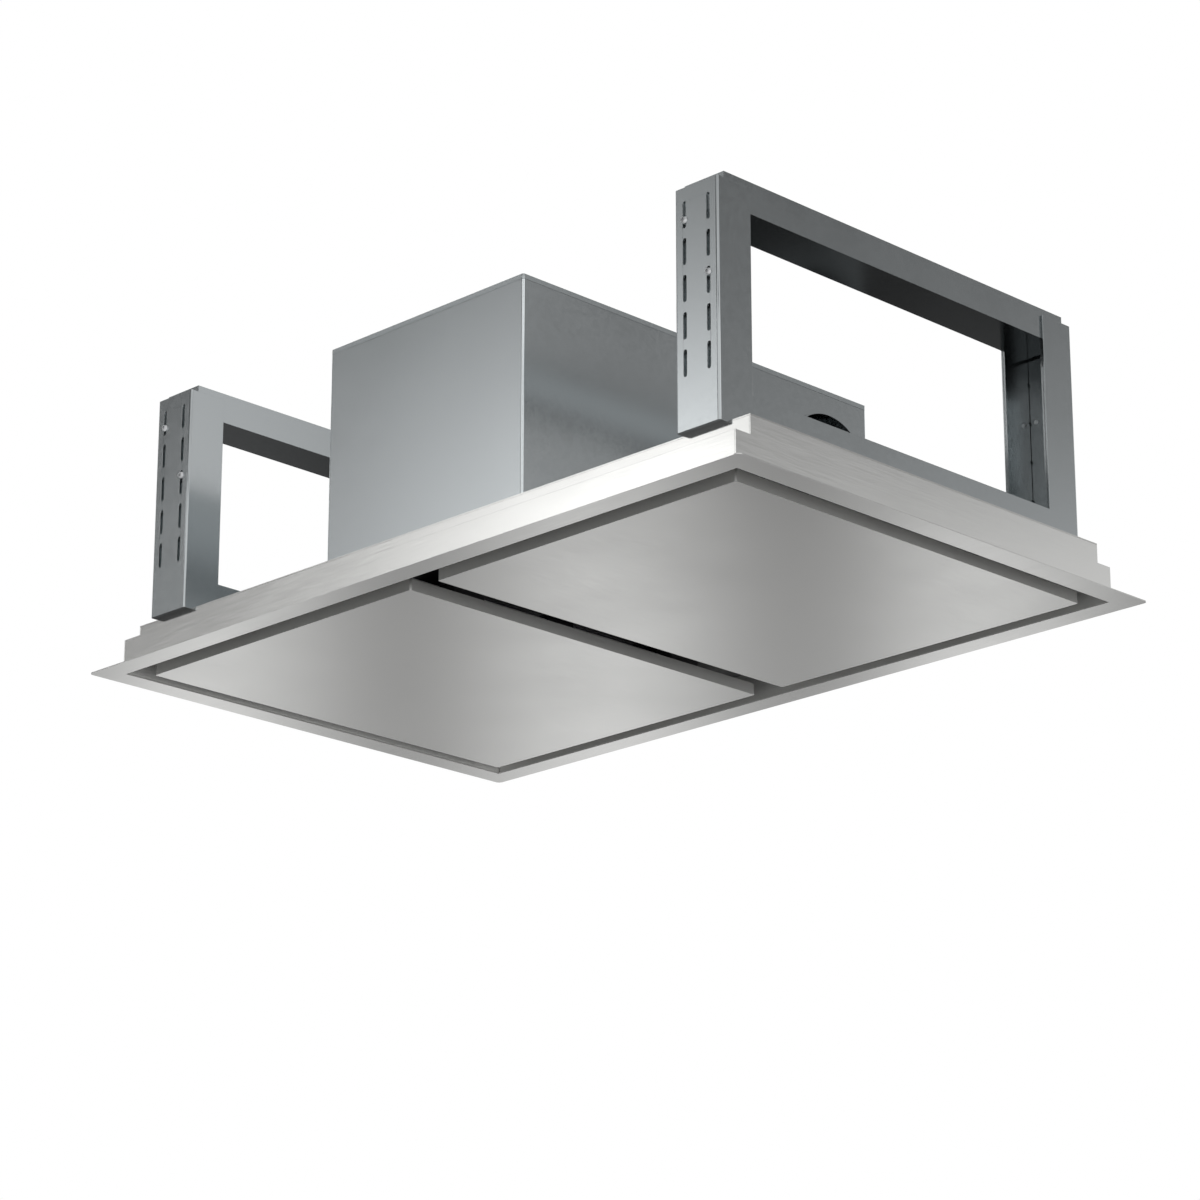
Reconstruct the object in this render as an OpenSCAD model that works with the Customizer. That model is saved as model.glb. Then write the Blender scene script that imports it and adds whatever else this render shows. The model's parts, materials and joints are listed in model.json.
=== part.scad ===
// Ceiling range hood: a stainless canopy with two suction panels, set flush
// in a ceiling cut-out and hung from two telescopic brackets.
// X runs along the long side, Y along the short side, Z up.
// The origin is the centre of the panels' underside.

/* [Trim flange] */
// Length of the trim flange along X
trim_w = 900; // [820:1:1100]
// Width of the trim flange along Y
trim_d = 574; // [560:1:700]
// Width of the flat rim around the opening
trim_rim = 26.4; // [24:0.2:32]
// Thickness of the flange sheet
trim_t = 1; // [0.8:0.1:1.5]
// Radius of the flange's corners
trim_corner_r = 5; // [2:0.5:10]
// Height of the flange's underside above the panels' underside
trim_lift = 1.2; // [0.6:0.1:3]

/* [Canopy body] */
// Thickness of the stainless wall sheet
sheet_t = 1.1; // [0.8:0.1:1.5]
// Distance from the flange's edge to the end walls
wall_inset_x = 25.3; // [20:0.1:26]
// Distance from the flange's edge to the long walls
wall_inset_y = 24; // [20:0.1:26]
// Height of the lower wall above the flange's underside
lower_wall_h = 35.8; // [34:0.1:50]
// Height of the whole body above the flange's underside
body_h = 55.2; // [54:0.1:80]
// Depth of the step between the lower and the upper long wall
step_in = 19; // [12:0.5:24]
// Width of the lips that the top plate lies on
lip_w = 16; // [13:0.5:20]
// Thickness of the top plate
top_plate_t = 1.2; // [1:0.1:2]

/* [Suction panels] */
// Width of the suction gap around the panels
edge_gap = 21; // [17:0.5:30]
// Width of the gap between the two panels
centre_gap = 38; // [30:1:50]
// Height of a panel's folded sides
panel_h = 12; // [11:0.5:14]
// Thickness of the panel skin
panel_t = 1; // [0.8:0.1:1.5]
// Corner radius of a panel
panel_corner_r = 2; // [1.5:0.1:4]
// Thickness of the panel's back cover
panel_back_t = 1; // [0.8:0.1:1.2]
// Distance of the hinge axis from the panel's outer edge
hinge_in = 13; // [11:0.5:15]
// Height of the hinge axis above the panel's side
hinge_rise = 5.4; // [5.2:0.1:6]
// Distance of each hinge from the panel's end
hinge_end = 49.6; // [30:0.2:90]
// Diameter of the hinge pins
hinge_pin_d = 5; // [4:0.5:5]

/* [Grease filters] */
// Distance between a filter's outer edge and the hinge brackets
filter_end_gap = 18.6; // [12:0.2:40]
// Distance of a filter's long edge behind the panel's edge
filter_side_gap = 34.6; // [20:0.2:60]
// Thickness of a filter cassette
filter_h = 9; // [8.5:0.1:9.5]
// Thickness of the plate that carries the filters
filter_plate_t = 1.5; // [1:0.1:2]
// Distance between a filter's inner edge and the magnets
filter_in_gap = 10; // [8:0.5:14]
// Spacing of the mesh openings along X
mesh_pitch_x = 30; // [24:1:40]
// Spacing of the mesh openings along Y
mesh_pitch_y = 26; // [20:1:40]

/* [Motor housing] */
// Width of the motor housing along X
housing_w = 273.4; // [270:0.2:300]
// Height of the motor housing above the body
housing_h = 220.6; // [210:0.2:240]
// Thickness of the galvanised housing sheet
housing_t = 1.2; // [1:0.1:1.5]
// Outside bend radius of the housing's upright edges
housing_bend_r = 2.2; // [1.8:0.1:4]
// Depth of the lid's turned-down lip
lid_lip = 5; // [4:0.5:8]

/* [Air outlet] */
// Bore of the outlet collar
duct_d = 120; // [100:1:120]
// Height of the outlet's axis above the body
duct_rise = 131.6; // [128:0.2:140]
// Length of the outlet collar
collar_l = 45.7; // [42:0.1:46]
// Length of the collar that stands out of the housing
collar_out = 5; // [4:0.5:8]
// Thickness of the damper flaps
flap_t = 1; // [0.8:0.1:1.5]

/* [Blower] */
// Diameter of the impeller
impeller_d = 124; // [110:1:128]
// Number of impeller blades
blade_count = 36; // [24:1:40]
// Length of the impeller blades
blade_l = 76; // [66:1:77]
// Outside width of the scroll casing
scroll_w = 92; // [91:0.5:94]
// Wall thickness of the scroll casing
scroll_t = 1.5; // [1.2:0.1:2]
// Smallest inside radius of the scroll
scroll_r_min = 68; // [66:0.5:70]
// Largest inside radius of the scroll
scroll_r_max = 92; // [88:0.5:94]
// Diameter of the motor
motor_d = 68; // [60:1:70]
// Diameter of the motor shaft
shaft_d = 8; // [6:1:10]

/* [Telescopic brackets] */
// Distance from the end wall to the middle of a bracket
bracket_in = 54.7; // [45:0.1:80]
// Width of a bracket leg along X
leg_w = 53; // [50:0.5:58]
// Depth of a bracket leg along Y
leg_d = 43.5; // [40:0.5:50]
// Thickness of the galvanised bracket sheet
leg_t = 2; // [1.5:0.1:2.2]
// Height of the lower bracket
leg_h = 235; // [220:1:236]
// Distance that the legs stand out beyond the upper long walls
leg_out = 9; // [6:0.5:9]
// Height of the lower bracket's cross rail
rail_h = 33.8; // [28:0.2:40]
// Height of the upper bracket's beam
beam_h = 31.5; // [28:0.5:36]
// Height of the beam's top above the lower bracket's top
beam_rise = 7.6; // [4:0.2:12]
// Distance of the beam's ends behind the outside of the legs
beam_back = 11; // [9:0.5:14]
// Number of slots in each column
slot_count = 5; // [3:1:5]
// Length of a slot
slot_l = 26; // [20:0.5:28]
// Width of a slot
slot_w = 4.2; // [4.1:0.1:5]
// Distance between neighbouring slots
slot_pitch = 36; // [32:0.5:38]
// Distance between the two columns of slots
slot_spread = 29.3; // [24:0.1:32]
// Distance from the leg's top to the middle of the first slot
slot_top = 26.8; // [24:0.2:30]
// Distance of a ceiling bolt from the end of its beam
ceiling_bolt_end = 42; // [30:0.5:60]
// Diameter of the ceiling bolt holes
ceiling_bolt_d = 8.5; // [6.5:0.5:10.5]

/* [Control box] */
// Length of the control box along X
control_w = 110; // [90:1:130]
// Width of the control box along Y
control_d = 150; // [120:1:180]
// Height of the control box
control_h = 36; // [30:1:45]
// Wall thickness of the control box
control_t = 2; // [1.5:0.1:3]

/* [Hidden] */
$fn = 64;

// Colours of the finishes
stainless = [0.72, 0.72, 0.70];
stainless_panel = [0.68, 0.68, 0.66];
galvanised = [0.55, 0.58, 0.59];
galvanised_lid = [0.48, 0.51, 0.52];
dark_steel = [0.14, 0.14, 0.15];
zinc = [0.78, 0.79, 0.80];
filter_aluminium = [0.70, 0.71, 0.73];
black_plastic = [0.08, 0.08, 0.09];
grey_plastic = [0.45, 0.46, 0.47];
motor_enamel = [0.30, 0.31, 0.32];
capacitor_can = [0.66, 0.67, 0.68];
black_rubber = [0.04, 0.04, 0.04];

// Clearances: fit is between seated faces, run between a pin and its bore
fit = 0.3;
run = 0.05;
// Overrun of every cut
over = 1;

// Screw sizes
m4_r = 2;
m4_head_r = 3.7;
m4_head_h = 2.2;
m4_hole_r = 2.2;
m5_r = 2.5;
m5_head_r = 4.6;
m5_head_h = 2.8;
m5_hole_r = 2.8;
rivet_r = 1.6;
rivet_head_r = 3.2;
rivet_head_h = 0.9;

// Canopy body
half_w = trim_w / 2;
half_d = trim_d / 2;
wall_foot = trim_lift + 2 * trim_t;
open_x = half_w - trim_rim;
open_y = half_d - trim_rim;
wall_x = half_w - wall_inset_x;
wall_y = half_d - wall_inset_y;
upper_y = wall_y - step_in;
step_z = trim_lift + lower_wall_h;
body_top = trim_lift + body_h;
lip_z = body_top - top_plate_t;
inner_x = wall_x - sheet_t;
inner_y = wall_y - sheet_t;
air_hole_edge = 23;
body_screw_shares = [-0.69, -0.47, 0.47, 0.69];
body_screw_y = upper_y - lip_w / 2;
end_screw_x = inner_x - lip_w / 2;
end_screw_in = 144;
end_screw_y = upper_y - end_screw_in;

// Suction panels
panel_in_x = centre_gap / 2;
panel_out_x = open_x - edge_gap;
panel_w = panel_out_x - panel_in_x;
panel_mid_x = (panel_in_x + panel_out_x) / 2;
panel_half_d = open_y - edge_gap;
panel_d = 2 * panel_half_d;
back_gap = 0.6;
back_top = panel_h - back_gap;
bead_w = 14;
bead_h = 1.2;
bead_count = 3;
bead_end = 60;
bead_pitch = panel_w / (bead_count + 1);
hinge_x = panel_out_x - hinge_in;
hinge_y = panel_half_d - hinge_end;
hinge_z = panel_h + hinge_rise;
hinge_pin_r = hinge_pin_d / 2;
hinge_r = 5;
lug_t = 2;
ear_t = 1.8;
pin_head_r = 3.6;
pin_head_t = 0.8;
catch_in = 25;
catch_end = 89.6;
catch_x = panel_in_x + catch_in;
catch_y = panel_half_d - catch_end;
magnet_w = 24;
magnet_d = 40;
strike_t = 1.6;
strike_w = 22;
strike_d = 46;

// Filter plate and filters
plate_top = step_z - sheet_t;
plate_bottom = plate_top - filter_plate_t;
filter_in_x = catch_x + magnet_w / 2 + filter_in_gap;
filter_out_x = hinge_x - hinge_r - filter_end_gap;
filter_w = filter_out_x - filter_in_x;
filter_d = panel_d - 2 * filter_side_gap;
filter_mid_x = (filter_in_x + filter_out_x) / 2;
filter_top = plate_bottom - 0.1 * fit;
filter_bottom = filter_top - filter_h;
rim_t = 1.2;
rim_flange = 12;
plate_overlap = 6;
hook_w = 30;
hook_end = 85;
hook_y = filter_d / 2 - hook_end;
hook_t = 1.2;
hook_lip = 7;
keeper_w = 36;
keeper_gap = 4;
latch_h = 2.8;
latch_w = 18;
latch_tab_w = 8;
latch_tab_l = 6;
latch_travel = 7;
latch_out = 8.5;
latch_l = 26.5;
latch_box_l = 30;
latch_box_w = 28;
latch_mid_z = filter_bottom + filter_h / 2;
latch_drop = 4;
latch_tab_x = filter_in_x - latch_out + latch_l - latch_tab_l - fit;
mesh_rows_x = floor((filter_w - 4 * rim_flange) / mesh_pitch_x);
mesh_rows_y = floor((filter_d - 2 * rim_flange) / mesh_pitch_y);
mesh_bar = 5;
rivet_shares = [-0.9, -0.5, 0, 0.5, 0.9];
rivet_y = (upper_y + inner_y) / 2;

// Motor housing
housing_face = housing_w / 2;
housing_d = 2 * (upper_y - fit);
housing_top = body_top + housing_h;
lid_t = 1;
housing_flange = 15;
joggle = lid_t + fit;
housing_return = 4;
shell_top = housing_top - lid_lip - fit;
rim_top = housing_top - lid_t;
housing_screw_r = 8;
lid_screw_in = 43.7;
lid_screw_ys = [-1, 0, 1] * (housing_d / 2 - lid_screw_in);

// Air outlet
duct_r = duct_d / 2;
duct_t = 1.2;
duct_y = housing_d / 2 - housing_t - fit - duct_t - duct_r;
duct_z = body_top + duct_rise;
collar_in_x = housing_face + collar_out - collar_l;
collar_flange_w = 10;
socket_l = 8;
damper_l = 35.7;
mouth_x = collar_in_x - fit - damper_l;
damper_in = 7;
damper_lip = 0.6;
damper_r = duct_r - damper_lip;
damper_x = mouth_x + damper_in;
damper_gap = 0.8;
damper_stop = 3.5;
flap_r = damper_r - damper_gap;
flap_back = damper_x - flap_t / 2;
spindle_r = 2.5;
knuckle_r = 4.2;
knuckle_l = 24;
knuckle_step = knuckle_l + fit;

// Blower
scroll_reach = 80;
blower_x = mouth_x - scroll_reach;
blower_z = duct_z - scroll_r_max / 2;
impeller_r = impeller_d / 2;
blade_t = 0.9;
blade_depth = 12;
blade_in_r = impeller_r - blade_depth;
blade_curve_r = 9;
blade_lean_share = 0.8;
blade_shift = 1;
blade_front = -blade_l / 2 - blade_shift;
blade_back = blade_front + blade_l;
ring_t = 2;
motor_r = motor_d / 2;
motor_gap = 4;
dish_r = motor_r + motor_gap;
dish_t = 1.6;
dish_depth = 51;
dish_end = blade_back - dish_depth;
hub_r = 9;
hub_l = 9.4;
shaft_r = shaft_d / 2;
shaft_l = 70;
shaft_start = dish_end - hub_l;
scroll_half = scroll_w / 2;
scroll_steps = 30;
scroll_sweep = 270;
bell_r = 6;
bell_t = 1.2;
bell_lip = 8;
bell_eye_r = blade_in_r + fit;
bell_mid_r = bell_eye_r + bell_r;
inlet_r = bell_mid_r + fit;
motor_hole_r = motor_r + motor_gap / 2;
motor_l = 59;
motor_groove_w = 3;
motor_groove_count = 5;
motor_mount_r = 50;
motor_mount_t = 2;
grommet_r = 5;
grommet_h = 4;
grommet_circle_r = 43;
cradle_t = 1.5;
cradle_h = 26;
cradle_tab_w = 20;
cradle_tab_in = 20;
cradle_w = 110;
air_hole_side = 26.7;
air_hole_w = housing_w - 2 * air_hole_side;
air_hole_front = housing_d / 2 - air_hole_edge;
air_hole_rear = duct_y - scroll_half - air_hole_edge;
capacitor_r = 12;
capacitor_foot = 1.5;
capacitor_h = 45;
capacitor_in = 25;
capacitor_x = mouth_x + capacitor_in;

// Telescopic brackets
bracket_x = wall_x - bracket_in;
leg_face = upper_y + leg_out;
leg_bend_r = 1.2 * leg_t;
leg_top = body_top + leg_h;
slot_r = slot_w / 2;
rail_top = body_top + rail_h;
inner_leg_w = leg_w - 2 * leg_t - 2 * fit;
inner_face = leg_face - leg_t - fit;
inner_leg_d = leg_d - leg_t - fit;
inner_rise = 10;
inner_bottom = body_top + inner_rise;
beam_top = leg_top + beam_rise;
beam_bottom = beam_top - beam_h;
beam_end = leg_face - beam_back;
beam_t = 2;
clamp_hi = 32;
clamp_lo = 91;
inner_slot_end = 8;
inner_slot_low = inner_bottom + inner_slot_end;
inner_slot_high = leg_top - clamp_hi + slot_r + run + leg_t / 2;
inner_hole_r = 1.6;
inner_hole_in = 4;
inner_hole_y = inner_face - leg_t - inner_hole_in;
inner_hole_pitch = 40.6;
inner_hole_top = 10;
clamp_r = 1.95;
clamp_bore_r = 2;
clamp_head_r = 3.6;
clamp_head_h = 2.4;
clamp_plate_side = 0.5;
clamp_plate_end = 4;
clamp_plate_w = inner_leg_w - 2 * leg_t - 2 * clamp_plate_side;
clamp_plate_t = 2.5;
ceiling_bolt_r = ceiling_bolt_d / 2;
ceiling_bolt_y = beam_end - ceiling_bolt_end;
ceiling_nut_r = 8;
ceiling_nut_h = 6.5;
foot_screw_in = 29.5;
foot_screw_shares = [-1, -1 / 3, 1 / 3, 1];
foot_screw_ys = foot_screw_shares * (leg_face - leg_d - foot_screw_in);

// Control box
control_gap = 43.3;
control_x = -(housing_w / 2 + control_gap + control_w / 2);
control_cover_t = 1.5;
control_lip = 6;
gland_r = 8;
gland_bore_r = 4.5;
gland_l = 22;
gland_nut_l = 6;
gland_flange = 2;
gland_z = control_h / 2;
terminal_l = 60;
terminal_w = 18;
terminal_h = 16;
terminal_count = 5;

// Sheet-metal profile helpers
function unit(v) = v / norm(v);
function side_of(a, b) = let (d = unit(b - a)) [-d[1], d[0]];
function corner_of(p, i, t) =
    i == 0 ? p[0] + t * side_of(p[0], p[1]) :
    i == len(p) - 1 ? p[i] + t * side_of(p[i - 1], p[i]) :
    let (m = side_of(p[i - 1], p[i]), n = side_of(p[i], p[i + 1])) p[i] + t * (m + n) / (1 + m * n);
function folded(p, t) = concat(p, [for (i = [len(p) - 1 : -1 : 0]) corner_of(p, i, t)]);

// Mirrors what follows to the left half when side is -1
module to_side(side) {
    mirror([side < 0 ? 1 : 0, 0, 0]) children();
}

// Copies what follows to the front and the rear
module front_and_rear() {
    for (turn = [0, 1]) mirror([0, turn, 0]) children();
}

// Rectangle with round corners, centred
module round_rect(w, d, r) {
    square([w - 2 * r, d], center = true);
    square([w, d - 2 * r], center = true);
    for (sx = [-1, 1], sy = [-1, 1])
        translate([sx * (w / 2 - r), sy * (d / 2 - r)]) circle(r);
}

// Ring between a round-cornered rectangle and the same one inset by t
module rect_ring(w, d, r, t) {
    difference() {
        round_rect(w, d, r);
        round_rect(w - 2 * t, d - 2 * t, max(r - t, 0.1 * r));
    }
}

// Slot outline of the given overall length along Y
module slot_2d(r, l) {
    square([2 * r, l - 2 * r], center = true);
    for (s = [-1, 1]) translate([0, s * (l / 2 - r)]) circle(r);
}

// Pan-head screw, its seat at the origin and its shank pointing down
module pan_screw(r, l, head_r, head_h) {
    translate([0, 0, -l]) cylinder(r = r, h = l, $fn = 24);
    difference() {
        cylinder(r1 = head_r, r2 = 0.7 * head_r, h = head_h, $fn = 32);
        translate([0, 0, 0.55 * head_h]) for (a = [0, 90])
            rotate(a) translate([0, 0, head_h / 2]) cube([head_r, 0.25 * head_r, head_h], center = true);
    }
}

// Frame plate that the ceiling cut-out's edge rests against, with a low
// upstand that the walls are welded to
module trim_flange() {
    color(stainless) translate([0, 0, trim_lift]) {
        linear_extrude(trim_t) difference() {
            round_rect(trim_w, trim_d, trim_corner_r);
            square([2 * open_x, 2 * open_y], center = true);
        }
        linear_extrude(wall_foot - trim_lift) difference() {
            square([2 * wall_x, 2 * wall_y], center = true);
            square([2 * open_x, 2 * open_y], center = true);
        }
    }
}

// Places of the screws that hold the top plate to the wall lips
module long_lip_places() {
    for (share = body_screw_shares) translate([share * inner_x, body_screw_y]) children();
}

module end_lip_places() {
    for (s = [-1, 1]) translate([end_screw_x, s * end_screw_y]) children();
}

// Stepped long wall, folded from one sheet, drawn for the rear
module long_wall() {
    profile = [
        [wall_y, wall_foot], [wall_y, step_z], [upper_y, step_z],
        [upper_y, lip_z], [upper_y - lip_w, lip_z]
    ];
    difference() {
        translate([-inner_x, 0, 0]) rotate([90, 0, 90]) linear_extrude(2 * inner_x)
            polygon(folded(profile, sheet_t));
        translate([0, 0, lip_z - sheet_t - over]) linear_extrude(sheet_t + 2 * over) {
            long_lip_places() circle(m4_hole_r, $fn = 24);
            housing_screw_places() circle(m4_hole_r, $fn = 24);
        }
        translate([0, 0, step_z - sheet_t - over]) linear_extrude(sheet_t + 2 * over)
            rivet_places() circle(rivet_r + run, $fn = 24);
    }
}

module front_wall() {
    color(stainless) mirror([0, 1, 0]) long_wall();
}

module rear_wall() {
    color(stainless) long_wall();
}

// Flat end plate with the stepped outline and an inward top lip
module end_wall() {
    outline = [
        [-wall_y, wall_foot], [wall_y, wall_foot], [wall_y, step_z], [upper_y, step_z],
        [upper_y, lip_z], [-upper_y, lip_z], [-upper_y, step_z], [-wall_y, step_z]
    ];
    lip_half = upper_y - lip_w - 2 * sheet_t;
    translate([inner_x, 0, 0]) rotate([90, 0, 90]) linear_extrude(sheet_t) polygon(outline);
    difference() {
        translate([inner_x - lip_w, -lip_half, lip_z - sheet_t])
            cube([lip_w + sheet_t / 2, 2 * lip_half, sheet_t]);
        translate([0, 0, lip_z - sheet_t - over]) linear_extrude(sheet_t + 2 * over)
            end_lip_places() circle(m4_hole_r, $fn = 24);
    }
}

module left_end_wall() {
    color(stainless) to_side(-1) end_wall();
}

module right_end_wall() {
    color(stainless) end_wall();
}

// Places of the screws through the housing's foot flange
module housing_screw_places() {
    for (sx = [-1, 1], y = lid_screw_ys)
        translate([sx * (housing_w / 2 - housing_screw_r), y]) children();
    for (s = [-1, 1], sx = [-1, 1])
        translate([sx * housing_w / 6, s * (housing_d / 2 - housing_screw_r)]) children();
}

// Places of the screws in the brackets' feet
module foot_screw_places() {
    for (sx = [-1, 1], y = foot_screw_ys) translate([sx * bracket_x, y]) children();
}

// Sheet of the canopy's top, cut to the outline of its children
module top_sheet() {
    color(stainless) translate([0, 0, lip_z]) linear_extrude(top_plate_t) difference() {
        children();
        front_and_rear() long_lip_places() circle(m4_hole_r, $fn = 24);
        for (s = [-1, 1]) to_side(s) end_lip_places() circle(m4_hole_r, $fn = 24);
        housing_screw_places() circle(m4_hole_r, $fn = 24);
        foot_screw_places() circle(m5_hole_r, $fn = 24);
    }
}

// Top sheets beside the air hole
module left_top_plate() {
    top_sheet() translate([-wall_x, -upper_y]) square([wall_x - air_hole_w / 2, 2 * upper_y]);
}

module right_top_plate() {
    top_sheet() translate([air_hole_w / 2, -upper_y]) square([wall_x - air_hole_w / 2, 2 * upper_y]);
}

// Strips in front of and behind the air hole, welded between the top sheets
module top_strips() {
    top_sheet() translate([-air_hole_w / 2, 0]) {
        translate([0, -upper_y]) square([air_hole_w, upper_y - air_hole_front]);
        translate([0, air_hole_rear]) square([air_hole_w, upper_y - air_hole_rear]);
    }
}

// Places of the rivets between the wall steps and the filter plate
module rivet_places() {
    for (share = rivet_shares) translate([share * inner_x, rivet_y]) children();
}

// Hooks and keeper that hold one filter, spot-welded under the plate
module hooks_and_keeper() {
    for (s = [-1, 1]) translate([filter_out_x + fit, s * hook_y - hook_w / 2, 0]) {
        translate([0, 0, filter_bottom - fit]) cube([hook_t, hook_w, plate_bottom - filter_bottom + fit]);
        translate([-hook_lip, 0, filter_bottom - fit - hook_t]) cube([hook_lip + hook_t, hook_w, hook_t]);
    }
    difference() {
        translate([filter_in_x - keeper_gap - rim_t, -keeper_w / 2, filter_bottom])
            cube([rim_t, keeper_w, plate_bottom - filter_bottom]);
        translate([filter_in_x - 2 * keeper_gap, -latch_w / 2 - fit, latch_mid_z - latch_h / 2 - fit])
            cube([2 * keeper_gap, latch_w + 2 * fit, latch_h + 2 * fit]);
    }
}

// Black plate that closes the plenum and carries both filters
module filter_plate() {
    color(dark_steel) translate([0, 0, plate_bottom]) linear_extrude(filter_plate_t) difference() {
        square([2 * (inner_x - fit), 2 * (inner_y - fit)], center = true);
        for (s = [-1, 1]) translate([s * filter_mid_x, 0])
            square([filter_w - 2 * plate_overlap, filter_d - 2 * plate_overlap], center = true);
        front_and_rear() rivet_places() circle(rivet_r + run, $fn = 24);
    }
}

module filter_hooks() {
    color(dark_steel) for (s = [-1, 1]) to_side(s) hooks_and_keeper();
}

module plate_rivets() {
    rivet_l = sheet_t + filter_plate_t;
    color(zinc) front_and_rear() rivet_places() {
        translate([0, 0, step_z])
            cylinder(r1 = rivet_head_r, r2 = rivet_head_r / 2, h = rivet_head_h, $fn = 24);
        translate([0, 0, step_z - rivet_l]) cylinder(r = rivet_r, h = rivet_l + rivet_head_h / 2, $fn = 24);
        translate([0, 0, plate_bottom - rivet_head_h / 2])
            cylinder(r = (rivet_r + rivet_head_r) / 2, h = rivet_head_h / 2, $fn = 24);
    }
}

// Channel rim of a filter with the box that guides its latch
module filter_rim() {
    inner_w = filter_w - 2 * rim_flange;
    inner_d = filter_d - 2 * rim_flange;
    difference() {
        union() {
            translate([filter_mid_x, 0, filter_bottom]) linear_extrude(filter_h) difference() {
                round_rect(filter_w, filter_d, 2 * rim_t);
                square([inner_w, inner_d], center = true);
            }
            translate([filter_in_x + rim_t, -latch_box_w / 2, filter_bottom])
                cube([latch_box_l, latch_box_w, filter_h]);
        }
        difference() {
            translate([filter_mid_x, 0, filter_bottom + rim_t]) linear_extrude(filter_h - 2 * rim_t)
                square([filter_w - 2 * rim_t, filter_d - 2 * rim_t], center = true);
            translate([filter_in_x + rim_t - over, -latch_box_w / 2, filter_bottom])
                cube([latch_box_l + over, latch_box_w, filter_h]);
        }
        translate([filter_in_x - over, -latch_w / 2 - fit, latch_mid_z - latch_h / 2 - fit])
            cube([latch_box_l, latch_w + 2 * fit, latch_h + 2 * fit]);
        translate([latch_tab_x - fit, -latch_tab_w / 2 - fit, filter_bottom - over])
            cube([latch_tab_l + latch_travel + 2 * fit, latch_tab_w + 2 * fit, filter_h / 2 + over]);
    }
}

// Pack of expanded mesh inside a filter's rim
module filter_mesh() {
    mesh_h = filter_h - 2 * rim_t - 2 * fit;
    mesh_w = filter_w - 2 * rim_t - 2 * fit;
    mesh_d = filter_d - 2 * rim_t - 2 * fit;
    translate([filter_mid_x, 0, filter_bottom + rim_t + fit]) linear_extrude(mesh_h) difference() {
        square([mesh_w, mesh_d], center = true);
        translate([filter_in_x - filter_mid_x, -latch_box_w / 2 - fit])
            square([latch_box_l + rim_t + fit, latch_box_w + 2 * fit]);
        for (i = [0 : mesh_rows_x - 1], j = [0 : mesh_rows_y - 1])
            translate([
                (i - (mesh_rows_x - 1) / 2) * mesh_pitch_x + rim_flange,
                (j - (mesh_rows_y - 1) / 2) * mesh_pitch_y
            ]) scale([mesh_pitch_x - mesh_bar, mesh_pitch_y - mesh_bar]) circle(0.5, $fn = 4);
    }
}

// Sliding bolt with its thumb tab
module filter_latch() {
    translate([filter_in_x - latch_out, -latch_w / 2, latch_mid_z - latch_h / 2])
        cube([latch_l, latch_w, latch_h]);
    translate([latch_tab_x, -latch_tab_w / 2, filter_bottom - latch_drop])
        cube([latch_tab_l, latch_tab_w, latch_mid_z - filter_bottom + latch_drop]);
}

module left_filter_rim() {
    color(filter_aluminium) to_side(-1) filter_rim();
}

module left_filter_mesh() {
    color(filter_aluminium) to_side(-1) filter_mesh();
}

module left_filter_latch() {
    color(black_plastic) to_side(-1) filter_latch();
}

module right_filter_rim() {
    color(filter_aluminium) filter_rim();
}

module right_filter_mesh() {
    color(filter_aluminium) filter_mesh();
}

module right_filter_latch() {
    color(black_plastic) filter_latch();
}

// Stainless pan that shows from below
module panel_skin() {
    translate([panel_mid_x, 0, 0]) {
        linear_extrude(panel_t) round_rect(panel_w, panel_d, panel_corner_r);
        linear_extrude(panel_h) rect_ring(panel_w, panel_d, panel_corner_r, panel_t);
    }
}

// Lug that turns on a hinge pin
module hinge_lug() {
    translate([hinge_x, hinge_y - lug_t / 2, hinge_z]) rotate([-90, 0, 0]) difference() {
        union() {
            cylinder(r = hinge_r, h = lug_t);
            translate([-hinge_r, 0, 0]) cube([2 * hinge_r, hinge_z - back_top + panel_back_t / 2, lug_t]);
        }
        translate([0, 0, -over]) cylinder(r = hinge_pin_r + run, h = lug_t + 2 * over);
    }
}

// Beaded cover inside the pan, with the hinge lugs
module panel_back() {
    gap = panel_t + fit;
    w = panel_w - 2 * gap;
    d = panel_d - 2 * gap;
    r = panel_corner_r - panel_t;
    translate([panel_mid_x, 0, panel_t]) linear_extrude(back_top - panel_t) rect_ring(w, d, r, panel_back_t);
    translate([panel_mid_x, 0, back_top - panel_back_t]) linear_extrude(panel_back_t) round_rect(w, d, r);
    translate([panel_in_x, 0, back_top - panel_back_t / 2]) for (i = [1 : bead_count])
        translate([i * bead_pitch, 0, 0]) linear_extrude(bead_h + panel_back_t / 2)
            slot_2d(bead_w / 2, panel_d - 2 * bead_end);
    front_and_rear() hinge_lug();
}

// Steel plates that the magnets hold
module strike_plates() {
    front_and_rear() translate([catch_x - strike_w / 2, catch_y - strike_d / 2, back_top])
        cube([strike_w, strike_d, strike_t]);
}

module left_panel_skin() {
    color(stainless_panel) to_side(-1) panel_skin();
}

module left_panel_back() {
    color(galvanised) to_side(-1) panel_back();
}

module left_strike_plates() {
    color(zinc) to_side(-1) strike_plates();
}

module right_panel_skin() {
    color(stainless_panel) panel_skin();
}

module right_panel_back() {
    color(galvanised) panel_back();
}

module right_strike_plates() {
    color(zinc) strike_plates();
}

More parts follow.
